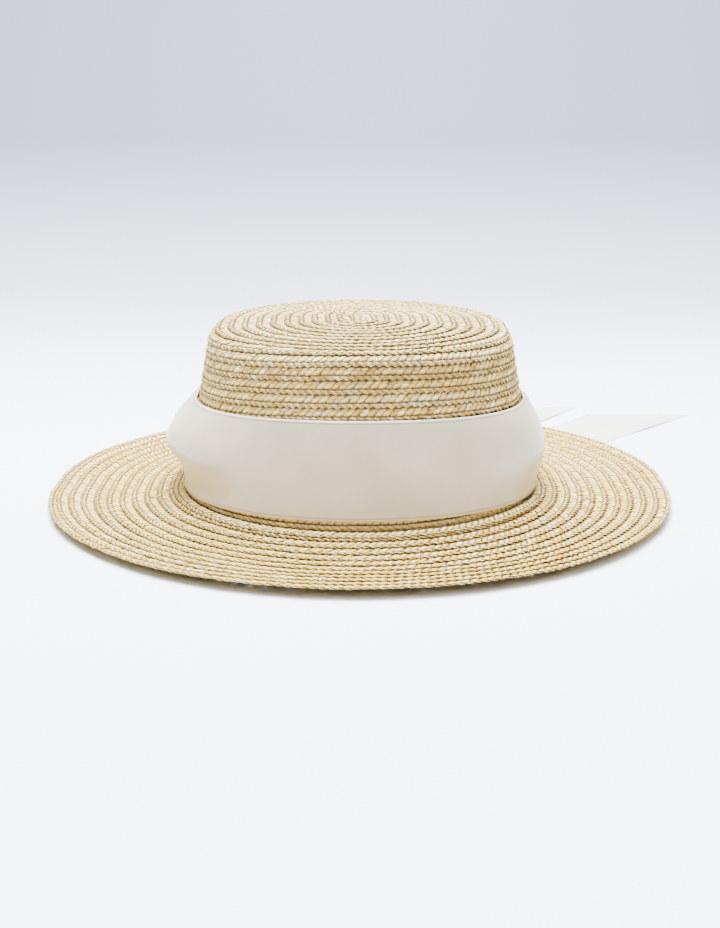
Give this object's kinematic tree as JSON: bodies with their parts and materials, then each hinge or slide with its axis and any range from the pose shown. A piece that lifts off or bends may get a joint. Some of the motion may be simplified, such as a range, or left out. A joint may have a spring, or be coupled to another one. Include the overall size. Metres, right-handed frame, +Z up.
{
  "type": "straw boater hat",
  "caption": "Boater hat of sewn straw plait with a low oval crown, a wide gently sloping brim, a wide satin ribbon band and loose ribbon ends lying behind it.",
  "frame": {"origin": "on the surface that the hat stands on, under the middle of the oval head opening", "axes": "+Z up through the crown, -Y to the front of the hat, +X to its right as seen from the front"},
  "size_m": [0.3588, 0.3535, 0.0899],
  "materials": {
    "crown_straw": "flat plait of split natural straw, satin gloss, rows sewn one over the next",
    "brim_straw": "flat plait of split natural straw, satin gloss, rows sewn one over the next",
    "band_satin": "ivory double-face satin ribbon with a fine woven selvedge",
    "end_satin": "ivory double-face satin ribbon with a fine woven selvedge, cut on a slant"
  },
  "bodies": {
    "root": {"crown": "crown_straw", "brim": "brim_straw", "ribbon_band": "band_satin", "ribbon_end_back": "end_satin", "ribbon_end_right": "end_satin"}
  },
  "joints": []
}
